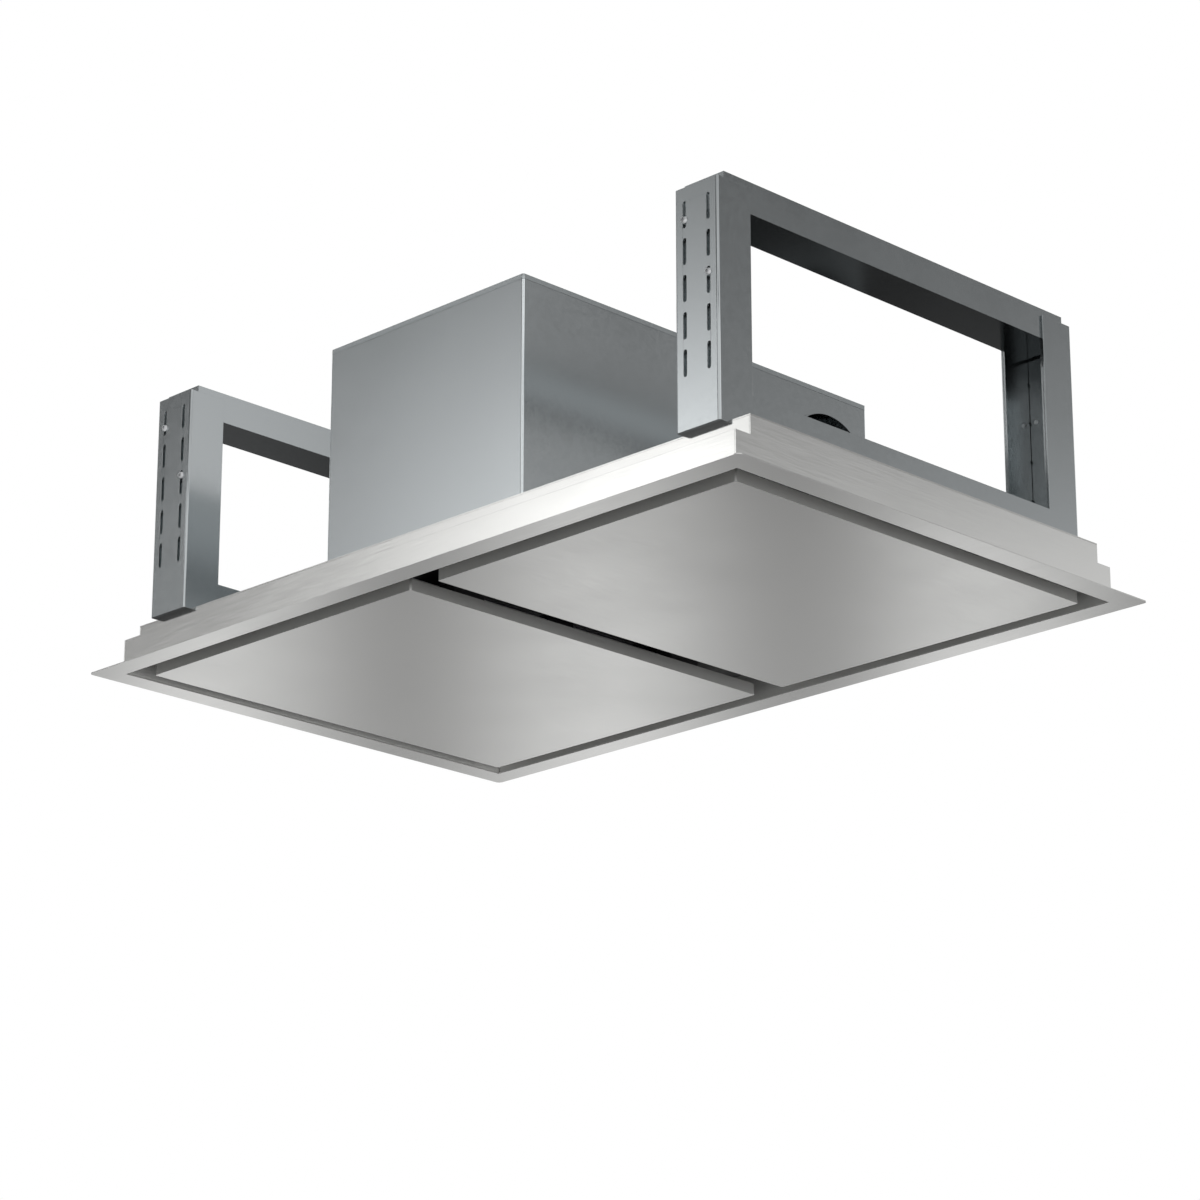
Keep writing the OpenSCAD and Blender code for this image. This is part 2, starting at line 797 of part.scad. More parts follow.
// Two-eared bracket under the filter plate, one for each lug
module hinge_bracket() {
    ear_in = lug_t / 2 + fit;
    length = 2 * (ear_in + ear_t);
    translate([hinge_x, hinge_y, 0]) difference() {
        union() {
            translate([-hinge_r, -length / 2, hinge_z]) cube([2 * hinge_r, length, plate_bottom - hinge_z]);
            translate([0, length / 2, hinge_z]) rotate([90, 0, 0]) cylinder(r = hinge_r, h = length);
        }
        translate([-hinge_r - over, -ear_in, hinge_z - hinge_r - over])
            cube([2 * (hinge_r + over), 2 * ear_in, plate_bottom - ear_t - hinge_z + hinge_r + over]);
        translate([0, length / 2 + over, hinge_z]) rotate([90, 0, 0])
            cylinder(r = hinge_pin_r + run, h = length + 2 * over);
    }
}

module hinge_brackets() {
    color(galvanised) for (s = [-1, 1]) to_side(s) front_and_rear() hinge_bracket();
}

// Hinge pins with a head at each end
module hinge_pins() {
    half = lug_t / 2 + fit + ear_t;
    color(zinc) for (s = [-1, 1]) to_side(s) front_and_rear()
        translate([hinge_x, hinge_y, hinge_z]) rotate([90, 0, 0]) {
            translate([0, 0, -half]) cylinder(r = hinge_pin_r, h = 2 * half, $fn = 32);
            for (e = [-half - pin_head_t, half])
                translate([0, 0, e]) cylinder(r = pin_head_r, h = pin_head_t, $fn = 32);
        }
}

// Magnet blocks under the filter plate, two for each panel
module catch_magnets() {
    low = back_top + strike_t + fit;
    color(black_plastic) for (s = [-1, 1]) to_side(s) front_and_rear()
        translate([catch_x, catch_y, low]) linear_extrude(plate_bottom - low)
            round_rect(magnet_w, magnet_d, 2 * rim_t);
}

// Section of a housing panel: top flange, joggle for the lid's lip, web, foot
// flange, measured inwards from the outer face
module housing_profile() {
    polygon(folded([
        [joggle + housing_flange, rim_top], [joggle, rim_top], [joggle, shell_top],
        [0, shell_top], [0, body_top], [housing_flange, body_top]
    ], housing_t));
}

// Cuts the screw holes of the housing's foot and of its lid
module with_housing_holes() {
    difference() {
        children();
        translate([0, 0, body_top - over]) linear_extrude(housing_t + 2 * over)
            housing_screw_places() circle(m4_hole_r, $fn = 24);
        translate([0, 0, rim_top - housing_t - over]) linear_extrude(housing_t + 2 * over)
            lid_screw_places() circle(m4_hole_r, $fn = 24);
    }
}

// Cuts the hole that the collar stands in
module with_collar_hole() {
    difference() {
        children();
        on_duct_axis(housing_face - housing_t - over)
            cylinder(r = duct_r + duct_t + run, h = housing_t + 2 * over, $fn = 96);
    }
}

// Front and rear panels, bent round the housing's upright edges
module housing_end_panels() {
    length = housing_w - 2 * housing_bend_r;
    color(galvanised) with_collar_hole() with_housing_holes()
        front_and_rear() translate([0, -housing_d / 2, 0]) {
            translate([-length / 2, 0, 0]) rotate([90, 0, 90]) linear_extrude(length) housing_profile();
            translate([0, 0, body_top]) linear_extrude(shell_top - body_top)
                leg_2d(housing_w, housing_return, housing_t, housing_bend_r);
        }
}

// Side panel between the bent edges, drawn for the left
module housing_side() {
    web = housing_d - 2 * housing_return;
    length = housing_d - 2 * (housing_flange + joggle + fit);
    translate([-housing_face, 0, 0]) {
        translate([0, length / 2, 0]) rotate([90, 0, 0]) linear_extrude(length) housing_profile();
        translate([0, -web / 2, body_top]) cube([housing_t, web, shell_top - body_top]);
    }
}

module left_housing_side() {
    color(galvanised) with_housing_holes() housing_side();
}

module right_housing_side() {
    color(galvanised) with_collar_hole() with_housing_holes() mirror([1, 0, 0]) housing_side();
}

module lid_screw_places() {
    for (sx = [-1, 1], y = lid_screw_ys)
        translate([sx * (housing_w / 2 - housing_screw_r), y]) children();
}

module housing_lid() {
    color(galvanised_lid) translate([0, 0, housing_top - lid_lip]) difference() {
        union() {
            linear_extrude(lid_lip) rect_ring(housing_w, housing_d, housing_bend_r, lid_t);
            translate([0, 0, lid_lip - lid_t]) linear_extrude(lid_t)
                round_rect(housing_w, housing_d, housing_bend_r);
        }
        translate([0, 0, lid_lip - lid_t - over]) linear_extrude(lid_t + 2 * over)
            lid_screw_places() circle(m4_hole_r, $fn = 24);
    }
}

// Moves what follows onto the outlet's axis, with its Z along +X
module on_duct_axis(x) {
    translate([x, duct_y, duct_z]) rotate([0, 90, 0]) children();
}

module tube(r, t, l) {
    difference() {
        cylinder(r = r + t, h = l, $fn = 96);
        translate([0, 0, -over]) cylinder(r = r, h = l + 2 * over, $fn = 96);
    }
}

// Keeps what lies inside the housing's end walls, less a gap
module inside_housing(gap) {
    intersection() {
        children();
        translate([0, 0, body_top]) linear_extrude(housing_h)
            square([2 * housing_w, housing_d - 2 * housing_t - 2 * gap], center = true);
    }
}

// Collar that the duct plugs onto, standing out of the housing's face
module outlet_collar() {
    socket_r = duct_r + duct_t + fit;
    color(galvanised) {
        inside_housing(run) {
            on_duct_axis(collar_in_x) tube(duct_r, duct_t, collar_l);
            on_duct_axis(collar_in_x) tube(duct_r, duct_t + fit + duct_t, duct_t);
            on_duct_axis(collar_in_x - socket_l) tube(socket_r, duct_t, socket_l + duct_t);
        }
        inside_housing(housing_bend_r)
            on_duct_axis(housing_face - housing_t - duct_t) tube(duct_r, collar_flange_w, duct_t);
    }
}

// Ring between the scroll's mouth and the collar, with the spindle's holes
module damper_ring() {
    plate_half = duct_r + duct_t;
    stop_r = damper_r - damper_stop;
    color(galvanised) difference() {
        union() {
            translate([mouth_x, duct_y - plate_half, duct_z - plate_half])
                cube([duct_t, 2 * plate_half, 2 * plate_half]);
            on_duct_axis(mouth_x) cylinder(r = duct_r + duct_t, h = damper_l, $fn = 96);
        }
        on_duct_axis(flap_back - fit) cylinder(r = damper_r, h = damper_l + over, $fn = 96);
        on_duct_axis(mouth_x - over) cylinder(r = stop_r, h = damper_l + 2 * over, $fn = 96);
        translate([damper_x, duct_y, duct_z - duct_r - 2 * duct_t - over])
            cylinder(r = spindle_r + run, h = 2 * duct_r + 4 * duct_t + 2 * over, $fn = 32);
    }
}

module damper_spindle() {
    length = 2 * (duct_r + duct_t);
    color(zinc) translate([damper_x, duct_y, duct_z - length / 2])
        cylinder(r = spindle_r, h = length, $fn = 32);
}

// Half-round flap with two knuckles, drawn for the rear half
module damper_flap(knuckles) {
    start = knuckle_r + fit;
    translate([damper_x, duct_y, duct_z]) difference() {
        union() {
            rotate([0, 90, 0]) translate([0, 0, -flap_t / 2]) linear_extrude(flap_t) intersection() {
                circle(flap_r, $fn = 96);
                translate([-flap_r, start]) square([2 * flap_r, flap_r]);
            }
            for (low = knuckles) translate([0, 0, low]) {
                cylinder(r = knuckle_r, h = knuckle_l, $fn = 32);
                translate([-flap_t / 2, 0, 0]) cube([flap_t, start + over, knuckle_l]);
            }
        }
        translate([0, 0, -flap_r - over]) cylinder(r = spindle_r + run, h = 2 * (flap_r + over), $fn = 32);
    }
}

module rear_damper_flap() {
    color(galvanised) damper_flap([-2 * knuckle_step, 0]);
}

module front_damper_flap() {
    color(galvanised) translate([0, duct_y, 0]) mirror([0, 1, 0]) translate([0, -duct_y, 0])
        damper_flap([-knuckle_step, knuckle_step]);
}

// Outline of the scroll grown by t, clockwise from its tongue to its mouth
function scroll_r(i) = scroll_r_min + (scroll_r_max - scroll_r_min) * i / scroll_steps;
function scroll_outline(t, reach, first) = concat(
    [for (i = [first : scroll_steps]) let (a = -i * scroll_sweep / scroll_steps, r = scroll_r(i) + t)
        [r * cos(a), r * sin(a)]],
    [[reach, scroll_r_max + t], [reach, -t]]
);

// Moves what follows onto the blower's axis, with its Z along +Y
module on_blower_axis(v) {
    translate([blower_x, duct_y + v, blower_z]) rotate([-90, 0, 0]) children();
}

module blower_scroll() {
    color(black_plastic) difference() {
        on_blower_axis(-scroll_half) mirror([0, 1, 0]) linear_extrude(scroll_w)
            polygon(scroll_outline(scroll_t, scroll_reach, 1));
        on_blower_axis(-scroll_half + scroll_t) mirror([0, 1, 0]) linear_extrude(scroll_w - 2 * scroll_t)
            polygon(scroll_outline(0, scroll_reach + over, 0));
        on_blower_axis(-scroll_half - over) cylinder(r = inlet_r, h = scroll_t + 2 * over, $fn = 96);
        on_blower_axis(scroll_half - scroll_t - over)
            cylinder(r = motor_hole_r, h = scroll_t + 2 * over, $fn = 96);
        grommet_places() translate([0, 0, scroll_half - scroll_t - over])
            cylinder(r = m4_hole_r, h = scroll_t + 2 * over, $fn = 24);
    }
}

// Bell-mouth ring that leads the air into the impeller's eye
module inlet_ring() {
    color(galvanised) on_blower_axis(-scroll_half) rotate_extrude($fn = 96) {
        translate([bell_mid_r, -bell_t]) square([bell_lip, bell_t]);
        intersection() {
            translate([bell_mid_r, bell_r - bell_t]) difference() {
                circle(bell_r, $fn = 64);
                circle(bell_r - bell_t, $fn = 64);
            }
            translate([bell_eye_r, -bell_t]) square([bell_r, bell_r]);
        }
    }
}

// One forward-curved blade between the two rings
module blade_2d() {
    mid_r = (blade_in_r + impeller_r) / 2;
    translate([mid_r, -blade_curve_r * blade_lean_share]) difference() {
        circle(blade_curve_r, $fn = 48);
        circle(blade_curve_r - blade_t, $fn = 48);
        translate([-2 * blade_curve_r, -2 * blade_curve_r]) square([4 * blade_curve_r, 2 * blade_curve_r]);
    }
}

// Bladed drum with a dished back that wraps round the motor
module impeller() {
    color(black_plastic) {
        on_blower_axis(blade_front) linear_extrude(blade_l) intersection() {
            difference() {
                circle(impeller_r, $fn = 96);
                circle(blade_in_r, $fn = 96);
            }
            for (i = [0 : blade_count - 1]) rotate(i * 360 / blade_count) blade_2d();
        }
        on_blower_axis(blade_front) tube(blade_in_r + ring_t, impeller_r - blade_in_r - ring_t, ring_t);
        on_blower_axis(0) rotate_extrude($fn = 96) {
            translate([dish_r, blade_back - ring_t]) square([impeller_r - dish_r, ring_t]);
            translate([dish_r, dish_end]) square([dish_t, dish_depth]);
            translate([shaft_r + run, dish_end]) square([dish_r + dish_t - shaft_r - run, dish_t]);
            translate([shaft_r + run, dish_end - hub_l]) square([hub_r - shaft_r - run, hub_l + dish_t]);
        }
    }
}

module motor_shaft() {
    color(zinc) on_blower_axis(shaft_start) cylinder(r = shaft_r, h = shaft_l, $fn = 48);
}

// Motor inside the impeller's dish, with cooling grooves
module motor_body() {
    start = scroll_half + grommet_h - motor_l;
    color(motor_enamel) on_blower_axis(start) difference() {
        cylinder(r = motor_r, h = motor_l, $fn = 96);
        translate([0, 0, -over]) cylinder(r = shaft_r + run, h = motor_l + 2 * over, $fn = 48);
        for (i = [1 : motor_groove_count]) translate([0, 0, 2 * i * motor_groove_w])
            tube(motor_r - motor_groove_w / 2, motor_groove_w, motor_groove_w);
    }
}

module grommet_places() {
    for (a = [90, 210, 330]) on_blower_axis(0) rotate(a) translate([grommet_circle_r, 0, 0]) children();
}

module motor_mount() {
    color(galvanised) difference() {
        on_blower_axis(scroll_half + grommet_h) cylinder(r = motor_mount_r, h = motor_mount_t, $fn = 96);
        on_blower_axis(scroll_half + grommet_h - over)
            cylinder(r = shaft_r + 2 * run, h = motor_mount_t + 2 * over, $fn = 48);
        grommet_places() translate([0, 0, scroll_half + grommet_h - over])
            cylinder(r = m4_hole_r, h = motor_mount_t + 2 * over, $fn = 24);
    }
}

module motor_grommets() {
    color(black_rubber) grommet_places() translate([0, 0, scroll_half]) difference() {
        cylinder(r = grommet_r, h = grommet_h, $fn = 32);
        translate([0, 0, -over]) cylinder(r = m4_hole_r, h = grommet_h + 2 * over, $fn = 24);
    }
}

module motor_screws() {
    color(zinc) grommet_places() translate([0, 0, scroll_half + grommet_h + motor_mount_t])
        pan_screw(m4_r, motor_mount_t + grommet_h + scroll_t + m4_r, m4_head_r, m4_head_h);
}

// Saddle on the top plate with four uprights beside the scroll
module blower_cradle() {
    span = scroll_w + 2 * cradle_t;
    color(galvanised) {
        translate([blower_x - cradle_w / 2, duct_y - span / 2, body_top]) cube([cradle_w, span, cradle_t]);
        for (x = [-1, 1] * (cradle_w / 2 - cradle_tab_in), s = [-1, 1])
            translate([blower_x + x, duct_y + s * (scroll_half + cradle_t / 2), body_top]) {
                translate([0, cradle_t / 2, 0]) rotate([90, 0, 0]) linear_extrude(cradle_t) {
                    translate([0, (cradle_h - cradle_tab_w / 2) / 2])
                        square([cradle_tab_w, cradle_h - cradle_tab_w / 2], center = true);
                    translate([0, cradle_h - cradle_tab_w / 2]) circle(cradle_tab_w / 2, $fn = 48);
                }
            }
    }
}

module run_capacitor() {
    color(capacitor_can) translate([capacitor_x, duct_y, body_top]) rotate_extrude($fn = 48) {
        square([capacitor_r, capacitor_h - capacitor_foot]);
        square([capacitor_r - capacitor_foot, capacitor_h]);
        square([capacitor_r + capacitor_foot, 2 * capacitor_foot]);
    }
}

// Open box for the electronics on the top plate
module control_box() {
    color(grey_plastic) translate([control_x, 0, body_top]) difference() {
        linear_extrude(control_h - control_cover_t) round_rect(control_w, control_d, 2 * control_t);
        translate([0, 0, control_t]) linear_extrude(control_h)
            round_rect(control_w - 2 * control_t, control_d - 2 * control_t, control_t);
        translate([0, -control_d / 2 - over, gland_z]) rotate([-90, 0, 0])
            cylinder(r = gland_r + run, h = control_t + 2 * over, $fn = 48);
    }
}

module control_box_cover() {
    gap = control_t + fit;
    color(grey_plastic) translate([control_x, 0, body_top + control_h - control_cover_t]) {
        linear_extrude(control_cover_t) round_rect(control_w, control_d, 2 * control_t);
        translate([0, 0, -control_lip]) linear_extrude(control_lip + control_cover_t / 2)
            rect_ring(control_w - 2 * gap, control_d - 2 * gap, control_t, control_cover_t);
    }
}

// Terminal block with its wire ports and screw wells
module terminal_block() {
    pitch = terminal_l / terminal_count;
    well_r = pitch / 4;
    color(black_plastic) translate([control_x - terminal_l / 2, -terminal_w / 2, body_top + control_t])
        difference() {
            cube([terminal_l, terminal_w, terminal_h]);
            for (i = [0 : terminal_count - 1])
                translate([(i + 0.5) * pitch, terminal_w / 2, terminal_h / 2]) {
                    cylinder(r = well_r, h = terminal_h, $fn = 24);
                    translate([0, 0, -terminal_h / 8]) rotate([90, 0, 0])
                        cylinder(r = well_r, h = 2 * terminal_w, center = true, $fn = 24);
                }
        }
}

// Cable gland in the box's front wall
module cable_gland() {
    nut_r = gland_r + 2 * gland_flange;
    color(black_plastic) translate([control_x, -control_d / 2, body_top + gland_z]) rotate([90, 0, 0])
        difference() {
            union() {
                translate([0, 0, -control_t - gland_nut_l]) {
                    cylinder(r = gland_r, h = gland_l, $fn = 48);
                    cylinder(r = nut_r, h = gland_nut_l, $fn = 6);
                }
                cylinder(r = nut_r, h = gland_nut_l, $fn = 6);
                translate([0, 0, gland_nut_l])
                    cylinder(r1 = gland_r + gland_flange, r2 = gland_r, h = gland_nut_l, $fn = 48);
            }
            translate([0, 0, -2 * gland_l]) cylinder(r = gland_bore_r, h = 4 * gland_l, $fn = 48);
        }
}

// Leg outline: a channel with bent outer corners, its web at y = 0
module leg_2d(w, d, t, r) {
    difference() {
        union() {
            translate([-w / 2, r]) square([w, d - r]);
            translate([-w / 2 + r, 0]) square([w - 2 * r, 2 * r]);
            for (s = [-1, 1]) translate([s * (w / 2 - r), r]) circle(r, $fn = 32);
        }
        translate([-w / 2 + t, t]) square([w - 2 * t, d]);
    }
}

module slot_columns() {
    for (s = [-1, 1], i = [0 : slot_count - 1])
        translate([s * slot_spread / 2, leg_top - slot_top - i * slot_pitch]) slot_2d(slot_r, slot_l);
}

// Lower bracket: two slotted legs on a cross rail, open towards each other
module lower_bracket() {
    difference() {
        union() {
            front_and_rear() translate([0, -leg_face, body_top]) linear_extrude(leg_h)
                leg_2d(leg_w, leg_d, leg_t, leg_bend_r);
            translate([-leg_w / 2, -leg_face + leg_bend_r, body_top]) difference() {
                cube([leg_w, 2 * (leg_face - leg_bend_r), rail_h]);
                translate([leg_t, -over, leg_t])
                    cube([leg_w - 2 * leg_t, 2 * (leg_face - leg_bend_r) + 2 * over, rail_h]);
            }
        }
        translate([0, leg_face + over, 0]) rotate([90, 0, 0]) linear_extrude(2 * (leg_face + over))
            slot_columns();
        for (y = foot_screw_ys) translate([0, y, body_top - over])
            cylinder(r = m5_hole_r, h = leg_t + 2 * over, $fn = 24);
    }
}

// Upper bracket: a box beam on two inner legs that slide in the slotted ones
module upper_bracket() {
    slot_mid = (inner_slot_low + inner_slot_high) / 2;
    difference() {
        union() {
            front_and_rear() {
                translate([0, -inner_face, inner_bottom]) linear_extrude(beam_bottom - inner_bottom)
                    leg_2d(inner_leg_w, inner_leg_d, leg_t, leg_bend_r);
                translate([0, -inner_face, beam_bottom]) linear_extrude(leg_top - beam_bottom)
                    leg_2d(inner_leg_w, inner_face - beam_end, leg_t, leg_bend_r);
            }
            difference() {
                translate([-inner_leg_w / 2, -beam_end, beam_bottom])
                    cube([inner_leg_w, 2 * beam_end, beam_h]);
                translate([-inner_leg_w / 2 + beam_t, -beam_end + beam_t, beam_bottom + beam_t])
                    cube([inner_leg_w - 2 * beam_t, 2 * (beam_end - beam_t), beam_h - 2 * beam_t]);
            }
        }
        for (s = [-1, 1]) {
            translate([s * slot_spread / 2, 0, slot_mid]) rotate([90, 0, 0])
                linear_extrude(2 * leg_face, center = true) slot_2d(slot_r, inner_slot_high - inner_slot_low);
            translate([0, s * ceiling_bolt_y, beam_top - beam_t - over])
                cylinder(r = ceiling_bolt_r, h = beam_t + 2 * over, $fn = 48);
            for (z = [leg_top - inner_hole_top : -inner_hole_pitch : inner_bottom + inner_hole_pitch])
                translate([-inner_leg_w / 2 - over, s * inner_hole_y, z]) rotate([0, 90, 0])
                    cylinder(r = inner_hole_r, h = leg_t + 2 * over, $fn = 24);
        }
    }
}

// Places of the clamp screws on both legs, with Z pointing outwards
module clamp_places(depth) {
    for (turn = [0, 180]) rotate(turn) for (s = [-1, 1])
        translate([s * slot_spread / 2, -leg_face + depth, leg_top - (s < 0 ? clamp_hi : clamp_lo)])
            rotate([90, 0, 0]) children();
}

module slot_screws() {
    shank = 2 * leg_t + 2 * fit + clamp_plate_t + leg_t / 2;
    clamp_places(0) pan_screw(clamp_r, shank, clamp_head_r, clamp_head_h);
}

// Tapped plates inside the inner legs, behind their long slots
module clamp_plates() {
    low = inner_slot_low - clamp_plate_end;
    difference() {
        front_and_rear() translate([-clamp_plate_w / 2, -inner_face + leg_t + fit, low])
            cube([clamp_plate_w, clamp_plate_t, inner_slot_high + clamp_plate_end - low]);
        clamp_places(2 * leg_t + 2 * fit - over) translate([0, 0, -clamp_plate_t - 2 * over])
            cylinder(r = clamp_bore_r, h = clamp_plate_t + 4 * over, $fn = 32);
    }
}

module ceiling_nuts() {
    for (s = [-1, 1]) translate([0, s * ceiling_bolt_y, beam_top - beam_t - ceiling_nut_h]) difference() {
        cylinder(r = ceiling_nut_r, h = ceiling_nut_h, $fn = 6);
        translate([0, 0, -over]) cylinder(r = ceiling_bolt_r, h = ceiling_nut_h + 2 * over, $fn = 48);
    }
}

module left_lower_bracket() {
    color(galvanised) translate([-bracket_x, 0, 0]) lower_bracket();
}

module left_upper_bracket() {
    color(galvanised) translate([-bracket_x, 0, 0]) upper_bracket();
}

module left_slot_screws() {
    color(zinc) translate([-bracket_x, 0, 0]) slot_screws();
}

module left_clamp_plates() {
    color(galvanised) translate([-bracket_x, 0, 0]) clamp_plates();
}

module left_ceiling_nuts() {
    color(zinc) translate([-bracket_x, 0, 0]) ceiling_nuts();
}

module right_lower_bracket() {
    color(galvanised) translate([bracket_x, 0, 0]) lower_bracket();
}

module right_upper_bracket() {
    color(galvanised) translate([bracket_x, 0, 0]) upper_bracket();
}

module right_slot_screws() {
    color(zinc) translate([bracket_x, 0, 0]) slot_screws();
}

module right_clamp_plates() {
    color(galvanised) translate([bracket_x, 0, 0]) clamp_plates();
}

module right_ceiling_nuts() {
    color(zinc) translate([bracket_x, 0, 0]) ceiling_nuts();
}

// Screws of the brackets, the top plate, the housing's foot and the lid
module top_screws() {
    shank = top_plate_t + housing_t + m4_r;
    color(zinc) {
        translate([0, 0, body_top + leg_t]) foot_screw_places()
            pan_screw(m5_r, leg_t + top_plate_t + m5_r, m5_head_r, m5_head_h);
        translate([0, 0, body_top]) {
            front_and_rear() long_lip_places() pan_screw(m4_r, shank, m4_head_r, m4_head_h);
            for (s = [-1, 1]) to_side(s) end_lip_places() pan_screw(m4_r, shank, m4_head_r, m4_head_h);
        }
        translate([0, 0, body_top + housing_t])
            housing_screw_places() pan_screw(m4_r, shank, m4_head_r, m4_head_h);
        translate([0, 0, housing_top])
            lid_screw_places() pan_screw(m4_r, shank, m4_head_r, m4_head_h);
    }
}

trim_flange();
front_wall();
rear_wall();
left_end_wall();
right_end_wall();
left_top_plate();
right_top_plate();
top_strips();
filter_plate();
plate_rivets();
filter_hooks();
left_filter_rim();
left_filter_mesh();
left_filter_latch();
right_filter_rim();
right_filter_mesh();
right_filter_latch();
left_panel_skin();
left_panel_back();
left_strike_plates();
right_panel_skin();
right_panel_back();
right_strike_plates();
hinge_brackets();
hinge_pins();
catch_magnets();
housing_end_panels();
left_housing_side();
right_housing_side();
housing_lid();
outlet_collar();
damper_ring();
damper_spindle();
front_damper_flap();
rear_damper_flap();
blower_scroll();
inlet_ring();
impeller();
motor_shaft();
motor_body();
motor_mount();
motor_grommets();
motor_screws();
blower_cradle();
run_capacitor();
control_box();
control_box_cover();
terminal_block();
cable_gland();
left_lower_bracket();
left_upper_bracket();
left_slot_screws();
left_clamp_plates();
left_ceiling_nuts();
right_lower_bracket();
right_upper_bracket();
right_slot_screws();
right_clamp_plates();
right_ceiling_nuts();
top_screws();
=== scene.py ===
import json
import math

import bmesh
import bpy
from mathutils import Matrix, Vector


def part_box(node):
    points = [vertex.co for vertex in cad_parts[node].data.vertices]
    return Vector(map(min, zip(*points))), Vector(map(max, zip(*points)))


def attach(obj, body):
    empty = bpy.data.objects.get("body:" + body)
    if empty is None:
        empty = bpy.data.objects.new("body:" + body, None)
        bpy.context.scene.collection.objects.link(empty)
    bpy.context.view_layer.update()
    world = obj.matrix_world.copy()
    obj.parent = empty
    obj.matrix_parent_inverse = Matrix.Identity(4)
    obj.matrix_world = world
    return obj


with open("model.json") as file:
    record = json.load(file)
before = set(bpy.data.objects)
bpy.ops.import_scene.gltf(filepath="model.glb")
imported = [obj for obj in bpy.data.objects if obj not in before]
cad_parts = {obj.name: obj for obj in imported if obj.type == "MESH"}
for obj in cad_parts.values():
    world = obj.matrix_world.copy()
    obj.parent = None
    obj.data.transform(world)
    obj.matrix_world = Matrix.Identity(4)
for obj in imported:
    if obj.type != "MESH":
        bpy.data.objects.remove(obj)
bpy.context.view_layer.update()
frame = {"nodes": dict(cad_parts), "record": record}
nodes = frame["nodes"]


# ---------------------------------------------------------------- node helpers
class Tree:
    """Short names for the nodes that the materials and the world share."""

    def __init__(self, tree):
        self.tree = tree
        tree.nodes.clear()

    def add(self, kind, **values):
        node = self.tree.nodes.new(kind)
        for key, value in values.items():
            setattr(node, key, value)
        return node

    def put(self, socket, value):
        if isinstance(value, bpy.types.NodeSocket):
            self.tree.links.new(value, socket)
        elif value is not None:
            socket.default_value = value

    def math(self, operation, a, b=None):
        node = self.add("ShaderNodeMath", operation=operation)
        self.put(node.inputs[0], a)
        self.put(node.inputs[1], b)
        return node.outputs[0]

    def times(self, a, b):
        return self.math("MULTIPLY", a, b)

    def plus(self, a, b):
        return self.math("ADD", a, b)

    def ramp(self, value, low, high, start=0.0, end=1.0, kind="SMOOTHSTEP"):
        """start where the value is low, end where it is high, and soft between."""
        node = self.add("ShaderNodeMapRange", interpolation_type=kind)
        for socket, entry in zip(node.inputs[:5], (value, low, high, start, end)):
            self.put(socket, entry)
        return node.outputs[0]

    def mix(self, factor, a, b):
        node = self.add("ShaderNodeMix", data_type="RGBA")
        self.put(node.inputs[0], factor)
        self.put(node.inputs[6], a)
        self.put(node.inputs[7], b)
        return node.outputs[2]

    def blend(self, factor, a, b):
        node = self.add("ShaderNodeMix", data_type="FLOAT")
        self.put(node.inputs[0], factor)
        self.put(node.inputs[2], a)
        self.put(node.inputs[3], b)
        return node.outputs[0]

    def split(self, vector):
        node = self.add("ShaderNodeSeparateXYZ")
        self.put(node.inputs[0], vector)
        return node.outputs

    def vector(self, operation, a, b):
        node = self.add("ShaderNodeVectorMath", operation=operation)
        self.put(node.inputs[0], a)
        self.put(node.inputs[1], b)
        return node.outputs

    def noise(self, vector, scale, detail=2.0, rough=0.5):
        node = self.add("ShaderNodeTexNoise")
        self.put(node.inputs["Vector"], vector)
        for name, value in (("Scale", scale), ("Detail", detail), ("Roughness", rough)):
            node.inputs[name].default_value = value
        return node.outputs["Fac"]

    def bump(self, height, strength, distance):
        node = self.add("ShaderNodeBump")
        self.put(node.inputs["Height"], height)
        node.inputs["Strength"].default_value = strength
        node.inputs["Distance"].default_value = distance
        return node.outputs["Normal"]


# -------------------------------------------------------------------- materials
def new_material(name, metal):
    """A material with its tree, its shader, and the place and normal on the object."""
    material = bpy.data.materials.new(name)
    material.use_nodes = True
    tree = Tree(material.node_tree)
    shader = tree.add("ShaderNodeBsdfPrincipled")
    shader.inputs["Metallic"].default_value = metal
    tree.put(tree.add("ShaderNodeOutputMaterial").inputs[0], shader.outputs[0])
    coordinates = tree.add("ShaderNodeTexCoord").outputs
    return material, tree, shader.inputs, coordinates["Object"], coordinates["Normal"]


def tone(colour, factor):
    return tuple(min(1.0, c * factor) for c in colour) + (1.0,)


STREAKS_ACROSS = 1400.0         # per metre, across the grain
STREAKS_ALONG = 26.0            # per metre, along it
ROUGH_SPREAD = 0.03             # from the smoothest to the mean place of a sheet
PAN_SIDE_TONE = 0.80            # the sides of a pan against its face
GRAIN_PULL = 0.3                # how much the grain draws out a highlight


